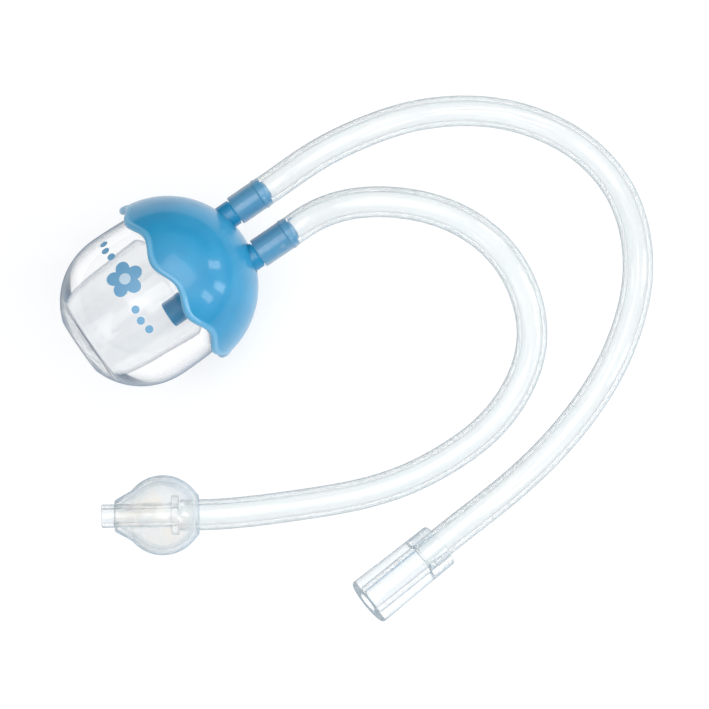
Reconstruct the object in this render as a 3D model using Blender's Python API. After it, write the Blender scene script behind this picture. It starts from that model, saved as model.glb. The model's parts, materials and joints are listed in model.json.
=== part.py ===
"""Nasal aspirator: a collection jar under a domed cap, with a mouth line and a nose line.

Units are metres and +Z is up. The jar lies on its side on the table, z = 0, with its cap towards +X,
and the origin is under the middle of the jar and cap. The jar and cap are drawn standing up, in a
frame whose Z is their common axis and starts at the jar's base. One empty lays that frame down.
"""

import math

import bmesh
import bpy
import numpy as np
from mathutils import Matrix, Vector

MM = 0.001
GAP = 0.3 * MM
MERGE = 0.001 * MM
ROUND_STEPS = 48
SMALL_STEPS = 32

# Jar: heights are along the axis, from the base.
BASE_R = 8.0 * MM
BELLY_R = 20.8 * MM
BELLY_AT = 18.6 * MM
EGG_POWER = 2.1
SHOULDER_R = 20.5 * MM
SHOULDER_AT = 27.6 * MM
SHOULDER_ROUND = 3.3 * MM
NECK_R = SHOULDER_R - SHOULDER_ROUND
RIM_AT = 35.9 * MM
FLOOR_AT = 3.9 * MM
CAVITY_R_FLOOR = 12.5 * MM
CAVITY_R_RIM = 15.1 * MM
CAVITY_ROUND = 1.6 * MM

# Screw thread between the jar's neck and the lid.
THREAD_PITCH = 2.4 * MM
THREAD_AT = 31.9 * MM
THREAD_TURNS = 1.25
THREAD_BASE = 1.1 * MM
THREAD_CREST = 0.5 * MM
THREAD_HEIGHT = 0.8 * MM

# Gasket, inner lid and dome.
GASKET_R = (15.2 * MM, 17.5 * MM)
GASKET_THICK = 1.2 * MM
LID_BORE_R = 18.4 * MM
LID_R = 19.4 * MM
LID_TOP_R = 17.5 * MM
LID_SKIRT_AT = 31.2 * MM
LID_PLATE = 1.6 * MM
PLATE_AT = RIM_AT + GAP + GASKET_THICK + GAP
DOME_AT = 27.6 * MM
DOME_R = 23.4 * MM
DOME_WALL = 1.6 * MM
SKIRT_MEAN = 29.0 * MM
SKIRT_WAVE = 1.15 * MM
SKIRT_WAVES = 9
SKIRT_FLARE = 0.25 * MM
RIB_THICK = 1.2 * MM
RIB_SPAN = (5.5 * MM, 15.5 * MM)

# Ports: one on each side of the axis, through the lid and the dome.
PORT_OFFSET = 6.5 * MM
PORT_R = 3.5 * MM
PORT_HOLE_R = PORT_R + GAP
PORT_BORE_R = 1.9 * MM
FLANGE_R = 4.8 * MM
FLANGE_THICK = 1.2 * MM
SPIGOT_R = 2.9 * MM
BARB_R = 3.2 * MM
BARB_LONG = 2.6 * MM
SPIGOT_TIP_R = 2.5 * MM
SPIGOT_END = 62.8 * MM
DROP_TUBE_END = 22.9 * MM
MOUTH_COLLAR_END = 52.6 * MM
NOSE_COLLAR_END = 51.4 * MM

# Silicone tubes, with one end stretched over a spigot as a cuff.
TUBE_R = 4.0 * MM
TUBE_POINT_STEP = 16.0 * MM
TUBE_LEAD = 3.0 * MM
CUFF_R = 4.3 * MM
CUFF_BORE_R = BARB_R + GAP
CUFF_END = SPIGOT_END + GAP
TUBE_START = CUFF_END + GAP

# Mouthpiece: a tapered cylinder, lying with its open end away from the tube.
MOUTHPIECE_LONG = 24.1 * MM
MOUTHPIECE_R_TUBE = 6.0 * MM
MOUTHPIECE_R_OPEN = 6.4 * MM
MOUTHPIECE_BORE_R = 2.7 * MM
SOCKET_R = TUBE_R + GAP
SOCKET_DEEP = 6.6 * MM
MOUTHPIECE_EDGE = 0.4 * MM
MOUTHPIECE_MOUTH = (20.8 * MM, -92.3 * MM)
MOUTHPIECE_HEADING = math.radians(187.1)

# Nose bulb and its core. Lengths are along their axis, from the bulb's centre towards the tip.
BULB_R = 10.3 * MM
BULB_WALL = 1.3 * MM
BULB_CENTRE = (-35.5 * MM, -48.3 * MM)
BULB_HEADING = math.radians(148.3)
CONE_START = 8.0 * MM
CONE_END = 12.4 * MM
CONE_END_R = 4.0 * MM
NECK_END = -9.3 * MM
NECK_END_R = 5.0 * MM
CORE_R = 3.0 * MM
CORE_BORE_R = 1.9 * MM
CORE_TIP = 15.8 * MM
CORE_FLANGE = (-4.1 * MM, -2.2 * MM)
CORE_FLANGE_R = 5.1 * MM

# Routes of the two tubes from their spigots, in millimetres: x, y and the height of the centreline.
MOUTH_ROUTE = [
    (45.2, 6.3, 32.9), (59.3, 5.3, 32.8), (72.8, 3.4, 29.6), (85.1, 0.1, 24.0), (96.3, -4.9, 17.2),
    (105.7, -12.5, 10.8), (112.1, -22.7, 6.2), (114.0, -35.3, 4.1), (110.8, -48.2, 4.1),
    (103.8, -59.8, 4.1), (93.7, -69.6, 4.1), (82.0, -77.3, 4.1), (69.2, -82.9, 4.1),
    (55.6, -87.0, 4.6), (41.9, -89.7, 5.7), (28.1, -91.4, 6.4), (14.8, -93.05, 6.4),
]
NOSE_ROUTE = [
    (44.2, -8.7, 32.8), (56.4, -15.3, 32.9), (67.0, -25.0, 30.0), (73.8, -37.2, 24.0),
    (74.6, -49.9, 16.6), (70.0, -60.5, 10.0), (60.9, -67.8, 5.8), (49.0, -72.2, 4.1),
    (36.5, -73.5, 4.1), (23.8, -72.6, 4.1), (11.2, -69.6, 4.8), (-0.9, -65.4, 6.9),
    (-12.9, -60.7, 9.2), (-24.95, -54.8, 10.3), (-31.75, -50.6, 10.3),
]


def arc(centre, radius, start, end, steps):
    """Points of a circular arc, between two angles in degrees."""
    angles = [math.radians(start + (end - start) * i / steps) for i in range(steps + 1)]
    return [(centre[0] + radius * math.cos(a), centre[1] + radius * math.sin(a)) for a in angles]


def egg_side():
    """The jar's outer side as (radius, height): a superellipse below the belly, a parabola above."""
    depth = BELLY_AT / (1 - (BASE_R / BELLY_R) ** EGG_POWER) ** (1 / EGG_POWER)
    points = []
    for i in range(10):
        height = BELLY_AT * (i / 9) ** 1.4
        share = (BELLY_AT - height) / depth
        points.append((BELLY_R * (1 - share ** EGG_POWER) ** (1 / EGG_POWER), height))
    for i in range(1, 5):
        share = i / 4
        height = BELLY_AT + (SHOULDER_AT - BELLY_AT) * share
        points.append((BELLY_R - (BELLY_R - SHOULDER_R) * share ** 2, height))
    return points


def cavity_side():
    """The cavity's side from the rim down, widening towards the rim ever more slowly."""
    points = []
    for i in range(7):
        share = 1 - i / 7
        radius = CAVITY_R_RIM - (CAVITY_R_RIM - CAVITY_R_FLOOR) * (1 - share) ** 2
        points.append((radius, FLOOR_AT + CAVITY_ROUND + (RIM_AT - FLOOR_AT - CAVITY_ROUND) * share))
    return points


def skirt_height(angle):
    """Height of the dome's wavy edge at an angle about the axis. A crest faces the table."""
    return SKIRT_MEAN + SKIRT_WAVE * math.cos(SKIRT_WAVES * angle)


def resting_place():
    """Tilt of the axis and height of the dome's centre, with the jar's belly and the skirt on the table."""
    crest = SKIRT_MEAN + SKIRT_WAVE
    edge_r = math.sqrt(DOME_R ** 2 - (crest - DOME_AT) ** 2) + SKIRT_FLARE
    tilt = min(math.atan2(edge_r - r, crest - h) for r, h in egg_side())
    return tilt, edge_r * math.cos(tilt) - (crest - DOME_AT) * math.sin(tilt)


TILT, DOME_HIGH = resting_place()
AXIS = Vector((math.cos(TILT), 0, math.sin(TILT)))
# The origin is midway between the jar's lowest X and the spigots' highest.
BACK_X = min(h * math.cos(TILT) - r * math.sin(TILT) for r, h in egg_side())
FRONT_X = SPIGOT_END * math.cos(TILT) + SPIGOT_TIP_R * math.sin(TILT)
BASE_X = -(BACK_X + FRONT_X) / 2
BASE_Z = DOME_HIGH - DOME_AT * math.sin(TILT)


def along_axis(height, across=0.0):
    """World point at a height along the jar's axis, and across it in Y."""
    return Vector((BASE_X, across, BASE_Z)) + AXIS * height


def clear_scene():
    for thing in list(bpy.data.objects):
        bpy.data.objects.remove(thing, do_unlink=True)


def material(name, colour, roughness, alpha=1.0):
    """A plastic or silicone finish."""
    made = bpy.data.materials.new(name)
    made.use_nodes = True
    shader = made.node_tree.nodes["Principled BSDF"]
    shader.inputs["Base Color"].default_value = (*colour, 1)
    shader.inputs["Roughness"].default_value = roughness
    shader.inputs["Metallic"].default_value = 0
    shader.inputs["Alpha"].default_value = alpha
    made.diffuse_color = (*colour, alpha)
    return made


def add_object(name, data, parent=None, finish=None, place=(0, 0, 0)):
    made = bpy.data.objects.new(name, data)
    bpy.context.scene.collection.objects.link(made)
    made.parent = parent
    made.location = place
    if finish is not None:
        data.materials.append(finish)
    return made


def mesh_from(name, bm):
    """Ends a bmesh: welds it, turns its faces outwards and shades its round sides smooth."""
    bmesh.ops.remove_doubles(bm, verts=bm.verts, dist=MERGE)
    bmesh.ops.recalc_face_normals(bm, faces=bm.faces)
    mesh = bpy.data.meshes.new(name)
    bm.to_mesh(mesh)
    bm.free()
    mesh.shade_smooth()
    mesh.set_sharp_from_angle(angle=math.radians(35))
    return mesh


def turned_mesh(name, outline, steps=ROUND_STEPS, ring=False):
    """Spins an outline of (radius, height) points about Z. A ring's outline closes on itself."""
    bm = bmesh.new()
    points = [bm.verts.new((radius, 0, height)) for radius, height in outline]
    pairs = list(zip(points, points[1:])) + ([(points[-1], points[0])] if ring else [])
    edges = [bm.edges.new(pair) for pair in pairs]
    bmesh.ops.spin(bm, geom=points + edges, axis=(0, 0, 1), cent=(0, 0, 0),
                   angle=math.tau, steps=steps)
    return mesh_from(name, bm)


def cutter(name, data, parent, place=(0, 0, 0)):
    """A shape that only cuts or joins another one."""
    made = add_object(name, data, parent, place=place)
    made.hide_render = True
    made.display_type = "WIRE"
    return made


def combine(target, tool, operation):
    """Cuts the tool from the target, or joins it on."""
    step = target.modifiers.new(f"{operation.title()} {tool.name}", "BOOLEAN")
    step.object = tool
    step.operation = operation
    step.solver = "EXACT"


def thread_mesh(name, root_r, outward, start):
    """A helical ridge, rooted a little inside its wall and pointing outward (1) or inward (-1)."""
    bm = bmesh.new()
    steps = round(ROUND_STEPS * THREAD_TURNS)
    sink = 0.4 * MM
    previous = None
    for i in range(steps + 1):
        angle = math.tau * THREAD_TURNS * i / steps
        middle = start + THREAD_PITCH * THREAD_TURNS * i / steps
        run_out = min(1.0, i / 4, (steps - i) / 4)
        tall = THREAD_HEIGHT * (0.15 + 0.85 * run_out)
        section = [(-sink, -THREAD_BASE / 2), (tall, -THREAD_CREST / 2),
                   (tall, THREAD_CREST / 2), (-sink, THREAD_BASE / 2)]
        corners = []
        for rise, up in section:
            radius = root_r + outward * rise
            corners.append(bm.verts.new((radius * math.cos(angle), radius * math.sin(angle), middle + up)))
        if previous is None:
            bm.faces.new(corners)
        else:
            for j in range(4):
                k = (j + 1) % 4
                bm.faces.new((previous[j], previous[k], corners[k], corners[j]))
        previous = corners
    bm.faces.new(previous[::-1])
    return mesh_from(name, bm)


def make_jar(frame, finish):
    """Thick clear jar: egg outside, tapered cavity inside, threaded neck."""
    shoulder = arc((NECK_R, SHOULDER_AT), SHOULDER_ROUND, 0, 90, 4)[1:]
    neck = [(NECK_R, RIM_AT - 0.3 * MM), (NECK_R - 0.3 * MM, RIM_AT)]
    corner = arc((CAVITY_R_FLOOR - CAVITY_ROUND, FLOOR_AT + CAVITY_ROUND), CAVITY_ROUND, 0, -90, 4)
    outline = [(0, 0)] + egg_side() + shoulder + neck + cavity_side() + corner + [(0, FLOOR_AT)]
    jar = add_object("reservoir_jar", turned_mesh("reservoir_jar", outline), frame, finish)
    ridge = cutter("jar_thread", thread_mesh("jar_thread", NECK_R, 1, THREAD_AT), frame)
    combine(jar, ridge, "UNION")


def make_gasket(frame, finish):
    """Soft flat ring between the jar's rim and the lid's plate."""
    inner, outer = GASKET_R
    low = RIM_AT + GAP
    high = low + GASKET_THICK
    ease = 0.25 * MM
    outline = [(inner, low + ease), (inner + ease, low), (outer - ease, low), (outer, low + ease),
               (outer, high - ease), (outer - ease, high), (inner + ease, high), (inner, high - ease)]
    add_object("jar_gasket", turned_mesh("jar_gasket", outline, ring=True), frame, finish)


def port_hole(name, frame, side, low, high):
    """Round cutter for a port, on one side of the axis."""
    outline = [(0, low), (PORT_HOLE_R, low), (PORT_HOLE_R, high), (0, high)]
    return cutter(name, turned_mesh(name, outline, SMALL_STEPS), frame, (0, side * PORT_OFFSET, 0))


def make_inner_lid(frame, finish):
    """Threaded cap inside the dome, with a plate that carries both ports."""
    plate_top = PLATE_AT + LID_PLATE
    outline = [(0, plate_top), (LID_TOP_R, plate_top), (LID_R, PLATE_AT - 1.2 * MM), (LID_R, LID_SKIRT_AT),
               (LID_BORE_R, LID_SKIRT_AT), (LID_BORE_R, PLATE_AT), (0, PLATE_AT)]
    lid = add_object("inner_lid", turned_mesh("inner_lid", outline), frame, finish)
    start = THREAD_AT + THREAD_PITCH / 2
    ridge = cutter("lid_thread", thread_mesh("lid_thread", LID_BORE_R, -1, start), frame)
    combine(lid, ridge, "UNION")
    for name, side in (("mouth_plate_hole", 1), ("nose_plate_hole", -1)):
        combine(lid, port_hole(name, frame, side, PLATE_AT - MM, plate_top + MM), "DIFFERENCE")


def dome_mesh():
    """Hemispherical shell whose lower edge rises and falls in waves, with a rolled, flared lip."""
    bm = bmesh.new()
    steps = SKIRT_WAVES * 8
    inner_r = DOME_R - DOME_WALL
    outer_rings = 9
    inner_rings = 6
    rings = []
    for i in range(outer_rings + inner_rings + 1):
        ring = []
        for j in range(steps):
            angle = math.tau * j / steps
            edge = skirt_height(angle) - DOME_AT
            if i < outer_rings:
                share, radius = i / outer_rings, DOME_R
                low = math.asin(edge / radius)
            elif i == outer_rings + inner_rings:
                share, radius = 0, (DOME_R + inner_r) / 2
                low = math.asin((edge - 0.35 * MM) / radius)
            else:
                share, radius = 1 - (i - outer_rings + 1) / inner_rings, inner_r
                low = math.asin(edge / radius)
            lift = low + (math.pi / 2 - low) * share
            flare = SKIRT_FLARE * max(0.0, 1 - 4 * share) ** 2
            across = radius * math.cos(lift) + flare
            ring.append(bm.verts.new((across * math.cos(angle), across * math.sin(angle),
                                      DOME_AT + radius * math.sin(lift))))
        rings.append(ring)
    outer, inner, lip = rings[:outer_rings], rings[outer_rings:-1], rings[-1]
    tops = [bm.verts.new((0, 0, DOME_AT + DOME_R)), bm.verts.new((0, 0, DOME_AT + inner_r))]
    for lower, upper in list(zip(outer, outer[1:])) + list(zip(inner, inner[1:])) + [(inner[-1], lip), (lip, outer[0])]:
        for j in range(steps):
            k = (j + 1) % steps
            bm.faces.new((lower[j], lower[k], upper[k], upper[j]))
    for j in range(steps):
        k = (j + 1) % steps
        bm.faces.new((outer[-1][j], outer[-1][k], tops[0]))
        bm.faces.new((inner[0][k], inner[0][j], tops[1]))
    return mesh_from("dome_cover", bm)


def rib_mesh(name, sign):
    """Upright plate under the dome, standing just above the lid's plate and sunk in the dome's wall."""
    low = PLATE_AT + LID_PLATE + GAP
    middle_r = DOME_R - DOME_WALL / 2
    near, far = RIB_SPAN
    spans = [near + (far - near) * i / 6 for i in range(7)]
    outline = [(near, low)] + [(x, DOME_AT + math.sqrt(middle_r ** 2 - x ** 2)) for x in spans] + [(far, low)]
    bm = bmesh.new()
    face = bm.faces.new([bm.verts.new((sign * x, -RIB_THICK / 2, z)) for x, z in outline])
    grown = bmesh.ops.extrude_face_region(bm, geom=[face])
    moved = [v for v in grown["geom"] if isinstance(v, bmesh.types.BMVert)]
    bmesh.ops.translate(bm, verts=moved, vec=(0, RIB_THICK, 0))
    return mesh_from(name, bm)


def make_dome(frame, finish):
    """Light blue cap: shell, two ribs inside and a hole for each port."""
    dome = add_object("dome_cover", dome_mesh(), frame, finish)
    for name, sign in (("lower_rib", 1), ("upper_rib", -1)):
        combine(dome, cutter(name, rib_mesh(name, sign), frame), "UNION")
    for name, side in (("mouth_dome_hole", 1), ("nose_dome_hole", -1)):
        combine(dome, port_hole(name, frame, side, PLATE_AT + 5 * MM, SPIGOT_END), "DIFFERENCE")


def make_port(name, frame, finish, side, lower_end, collar_end):
    """Through-connector: an optional drop tube, a flange under the lid, a collar and a barbed spigot."""
    flange_top = PLATE_AT - GAP
    flange_low = flange_top - FLANGE_THICK
    barb_low = SPIGOT_END - BARB_LONG
    ease = 0.3 * MM
    outline = [(PORT_BORE_R, lower_end)]
    if lower_end < flange_low:
        outline += [(PORT_R - ease, lower_end), (PORT_R, lower_end + ease), (PORT_R, flange_low)]
    outline += [(FLANGE_R, flange_low), (FLANGE_R, flange_top), (PORT_R, flange_top),
                (PORT_R, collar_end - ease), (PORT_R - ease, collar_end), (SPIGOT_R, collar_end),
                (SPIGOT_R, barb_low), (BARB_R, barb_low + ease), (SPIGOT_TIP_R, SPIGOT_END),
                (PORT_BORE_R, SPIGOT_END)]
    mesh = turned_mesh(name, outline, SMALL_STEPS, ring=True)
    add_object(name, mesh, frame, finish, (0, side * PORT_OFFSET, 0))


def make_cuff(name, frame, finish, side, start):
    """The tube's stretched end, around the spigot."""
    ease = 0.25 * MM
    outline = [(CUFF_BORE_R, start), (CUFF_R - ease, start), (CUFF_R, start + ease),
               (CUFF_R, CUFF_END - MM), (TUBE_R, CUFF_END), (CUFF_BORE_R, CUFF_END)]
    mesh = turned_mesh(name, outline, SMALL_STEPS, ring=True)
    add_object(name, mesh, frame, finish, (0, side * PORT_OFFSET, 0))


def smooth_line(points, step):
    """Evenly spaced points on a natural cubic spline through the given points."""
    knots = np.array(points, float)
    lengths = np.linalg.norm(np.diff(knots, axis=0), axis=1)
    at = np.concatenate([[0], np.cumsum(lengths)])
    count = len(knots)
    system = np.eye(count)
    right = np.zeros((count, 3))
    for i in range(1, count - 1):
        before, after = lengths[i - 1], lengths[i]
        system[i, i - 1:i + 2] = before, 2 * (before + after), after
        right[i] = 6 * ((knots[i + 1] - knots[i]) / after - (knots[i] - knots[i - 1]) / before)
    bend = np.linalg.solve(system, right)

    def place(s):
        i = min(max(int(np.searchsorted(at, s)) - 1, 0), count - 2)
        span, a, b = lengths[i], at[i + 1] - s, s - at[i]
        curved = (bend[i] * a ** 3 + bend[i + 1] * b ** 3) / (6 * span)
        straight = (knots[i] / span - bend[i] * span / 6) * a + (knots[i + 1] / span - bend[i + 1] * span / 6) * b
        return curved + straight

    pieces = max(2, round(at[-1] / step))
    return [place(at[-1] * i / pieces) for i in range(pieces + 1)]


def make_tube(name, finish, side, route):
    """Free silicone tube, from the end of its cuff to the piece it plugs into."""
    start = along_axis(TUBE_START, side * PORT_OFFSET)
    lead = start + AXIS * TUBE_LEAD
    line = [start] + smooth_line([lead] + [Vector(p) * MM for p in route], TUBE_POINT_STEP)
    curve = bpy.data.curves.new(name, "CURVE")
    curve.dimensions = "3D"
    curve.bevel_depth = TUBE_R
    curve.bevel_resolution = 3
    curve.use_fill_caps = True
    spline = curve.splines.new("POLY")
    spline.points.add(len(line) - 1)
    for point, place in zip(spline.points, line):
        point.co = (*place, 1)
    add_object(name, curve, finish=finish)


def laid_empty(name, place, heading):
    """An empty whose Z lies level and points along a heading, for a piece drawn standing up."""
    made = add_object(name, None, place=place)
    turn = Matrix.Rotation(heading, 3, "Z") @ Matrix.Rotation(math.pi / 2, 3, "Y")
    made.rotation_euler = turn.to_euler()
    return made


def make_mouthpiece(finish):
    """Clear tapered cylinder with a socket for the tube and a bore to the open end."""
    frame = laid_empty("mouthpiece_axis", (*MOUTHPIECE_MOUTH, MOUTHPIECE_R_OPEN), MOUTHPIECE_HEADING)
    edge = MOUTHPIECE_EDGE
    outline = [(SOCKET_R, 0), (MOUTHPIECE_R_TUBE - edge, 0), (MOUTHPIECE_R_TUBE, edge),
               (MOUTHPIECE_R_OPEN, MOUTHPIECE_LONG - edge), (MOUTHPIECE_R_OPEN - edge, MOUTHPIECE_LONG),
               (MOUTHPIECE_BORE_R, MOUTHPIECE_LONG), (MOUTHPIECE_BORE_R, SOCKET_DEEP), (SOCKET_R, SOCKET_DEEP)]
    add_object("mouthpiece", turned_mesh("mouthpiece", outline, SMALL_STEPS, ring=True), frame, finish)


def make_nose_bulb(frame, finish):
    """Soft hollow bulb: a sphere with a cone to the tip and a short neck round the tube."""
    inner_r = BULB_R - BULB_WALL
    rear = math.degrees(math.asin(-8.2 * MM / BULB_R))
    front = math.degrees(math.asin(CONE_START / BULB_R))
    inner_rear = math.degrees(math.acos((TUBE_R + GAP) / inner_r))
    inner_front = math.degrees(math.asin(6.6 * MM / inner_r))
    outline = [(TUBE_R + GAP, NECK_END), (NECK_END_R, NECK_END)]
    outline += arc((0, 0), BULB_R, rear, front, 11)
    outline += [(CONE_END_R, CONE_END), (CORE_R + GAP, CONE_END)]
    outline += [(CORE_R + GAP, CONE_END - 2.2 * MM)]
    outline += arc((0, 0), inner_r, inner_front, -inner_rear, 8)
    add_object("nose_bulb", turned_mesh("nose_bulb", outline, 40, ring=True), frame, finish)


def make_nose_core(frame, finish):
    """Hard tube inside the bulb, with a flange at the tube's end and a rounded tip."""
    low, high = CORE_FLANGE
    ease = 0.4 * MM
    outline = [(CORE_BORE_R, low), (CORE_FLANGE_R, low), (CORE_FLANGE_R, high), (CORE_R, high),
               (CORE_R, CORE_TIP - ease), (CORE_R - ease, CORE_TIP), (CORE_BORE_R + 0.2 * MM, CORE_TIP),
               (CORE_BORE_R, CORE_TIP - 0.2 * MM)]
    add_object("nose_core", turned_mesh("nose_core", outline, SMALL_STEPS, ring=True), frame, finish)


def main():
    clear_scene()
    clear_plastic = material("clear_plastic", (0.80, 0.88, 0.93), 0.06, 0.35)
    dome_blue = material("dome_blue", (0.07, 0.33, 0.62), 0.32)
    port_blue = material("port_blue", (0.01, 0.20, 0.50), 0.35)
    silicone = material("clear_silicone", (0.86, 0.91, 0.92), 0.28, 0.45)
    soft_silicone = material("soft_silicone", (0.72, 0.83, 0.87), 0.35, 0.55)

    frame = add_object("jar_axis", None, place=(BASE_X, 0, BASE_Z))
    frame.rotation_euler = (0, math.pi / 2 - TILT, 0)
    make_jar(frame, clear_plastic)
    make_gasket(frame, silicone)
    make_inner_lid(frame, port_blue)
    make_dome(frame, dome_blue)

    flange_low = PLATE_AT - GAP - FLANGE_THICK
    make_port("mouth_port", frame, port_blue, 1, flange_low, MOUTH_COLLAR_END)
    make_port("nose_port", frame, port_blue, -1, DROP_TUBE_END, NOSE_COLLAR_END)
    make_cuff("mouth_tube_cuff", frame, silicone, 1, MOUTH_COLLAR_END + GAP)
    make_cuff("nose_tube_cuff", frame, silicone, -1, NOSE_COLLAR_END + GAP)
    make_tube("mouth_tube", silicone, 1, MOUTH_ROUTE)
    make_tube("nose_tube", silicone, -1, NOSE_ROUTE)

    make_mouthpiece(clear_plastic)
    bulb_frame = laid_empty("bulb_axis", (*BULB_CENTRE, BULB_R), BULB_HEADING)
    make_nose_bulb(bulb_frame, soft_silicone)
    make_nose_core(bulb_frame, clear_plastic)


main()
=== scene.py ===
import json
import math

import bmesh
import bpy
import numpy as np
from mathutils import Matrix, Vector


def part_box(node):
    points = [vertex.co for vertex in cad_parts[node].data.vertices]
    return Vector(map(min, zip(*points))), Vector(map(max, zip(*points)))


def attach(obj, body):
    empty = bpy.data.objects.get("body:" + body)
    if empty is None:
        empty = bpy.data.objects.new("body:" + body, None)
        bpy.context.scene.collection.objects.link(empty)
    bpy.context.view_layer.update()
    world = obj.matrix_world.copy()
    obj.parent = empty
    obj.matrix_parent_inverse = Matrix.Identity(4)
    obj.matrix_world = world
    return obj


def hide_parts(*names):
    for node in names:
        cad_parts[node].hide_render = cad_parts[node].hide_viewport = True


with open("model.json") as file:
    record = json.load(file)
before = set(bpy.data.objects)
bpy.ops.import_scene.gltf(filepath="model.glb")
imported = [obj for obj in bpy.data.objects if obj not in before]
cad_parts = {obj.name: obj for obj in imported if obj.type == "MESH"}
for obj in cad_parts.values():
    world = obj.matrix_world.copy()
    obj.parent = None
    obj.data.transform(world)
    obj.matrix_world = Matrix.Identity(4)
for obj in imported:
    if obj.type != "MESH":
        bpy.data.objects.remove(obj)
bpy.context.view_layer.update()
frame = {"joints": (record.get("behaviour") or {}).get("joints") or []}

mm = 0.001
joints = {joint["name"]: joint for joint in frame["joints"]}


def axisFrame(origin, axis):
    # local Z runs along the axis and local Y stays level
    zWay = Vector(axis).normalized()
    yWay = Vector((0, 0, 1)).cross(zWay).normalized()
    turn = Matrix((yWay.cross(zWay), yWay, zWay)).transposed().to_4x4()
    return Matrix.Translation(Vector(origin)) @ turn


# the jar and cap share this frame: it starts at the jar's base and rises towards the cap
jarFrame = axisFrame(joints["jar_turn"]["pos_m"], -Vector(joints["jar_turn"]["axis"]))

cameraSet = {"target": (0.0313, -0.0355, 0.0), "azimuth": -32.7, "elevation": 72.0,
             "distance": 1.40, "lens": 271.4, "sensor": 36.0}


def addCamera():
    turn, rise = math.radians(cameraSet["azimuth"]), math.radians(cameraSet["elevation"])
    back = Vector((math.sin(turn) * math.cos(rise), -math.cos(turn) * math.cos(rise), math.sin(rise)))
    right = Vector((math.cos(turn), math.sin(turn), 0))
    data = bpy.data.cameras.new("camera")
    data.lens = cameraSet["lens"]
    data.sensor_width = cameraSet["sensor"]
    camera = bpy.data.objects.new("camera", data)
    bpy.context.scene.collection.objects.link(camera)
    turned = Matrix((right, back.cross(right), back)).transposed().to_4x4()
    place = Vector(cameraSet["target"]) + back * cameraSet["distance"]
    camera.matrix_world = Matrix.Translation(place) @ turned
    bpy.context.scene.camera = camera


addCamera()
print("camera is set")


class Signal:
    # a socket that arithmetic can be written on; each operation adds its Math node
    def __init__(self, graph, socket):
        self.graph = graph
        self.socket = socket

    def maths(self, operation, first, second):
        return self.graph.node("ShaderNodeMath", {"operation": operation}, {0: first, 1: second})

    def __add__(self, other):
        return self.maths("ADD", self, other)

    def __radd__(self, other):
        return self.maths("ADD", other, self)

    def __mul__(self, other):
        return self.maths("MULTIPLY", self, other)

    def __rmul__(self, other):
        return self.maths("MULTIPLY", other, self)


class Graph:
    # the nodes of a material or of the world
    def __init__(self, owner):
        owner.use_nodes = True
        self.tree = owner.node_tree
        self.tree.nodes.clear()

    def node(self, kind, settings=None, sockets=None, out=0):
        made = self.tree.nodes.new(kind)
        for key, value in (settings or {}).items():
            if key == "stops":
                ramp = made.color_ramp
                while len(ramp.elements) < len(value):
                    ramp.elements.new(1.0)
                for element, (place, colour) in zip(ramp.elements, value):
                    element.position = place
                    element.color = (*colour, 1)
            else:
                setattr(made, key, value)
        for key, value in (sockets or {}).items():
            if isinstance(value, Signal):
                self.tree.links.new(value.socket, made.inputs[key])
            else:
                made.inputs[key].default_value = value
        return Signal(self, made.outputs[out]) if made.outputs else None


# the first value is the facing at which the painted shade on clear edges is full; rough is the veil's
# roughness
veilSet = {"paintedShadeFull": 0.97, "rough": 0.5}


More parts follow.
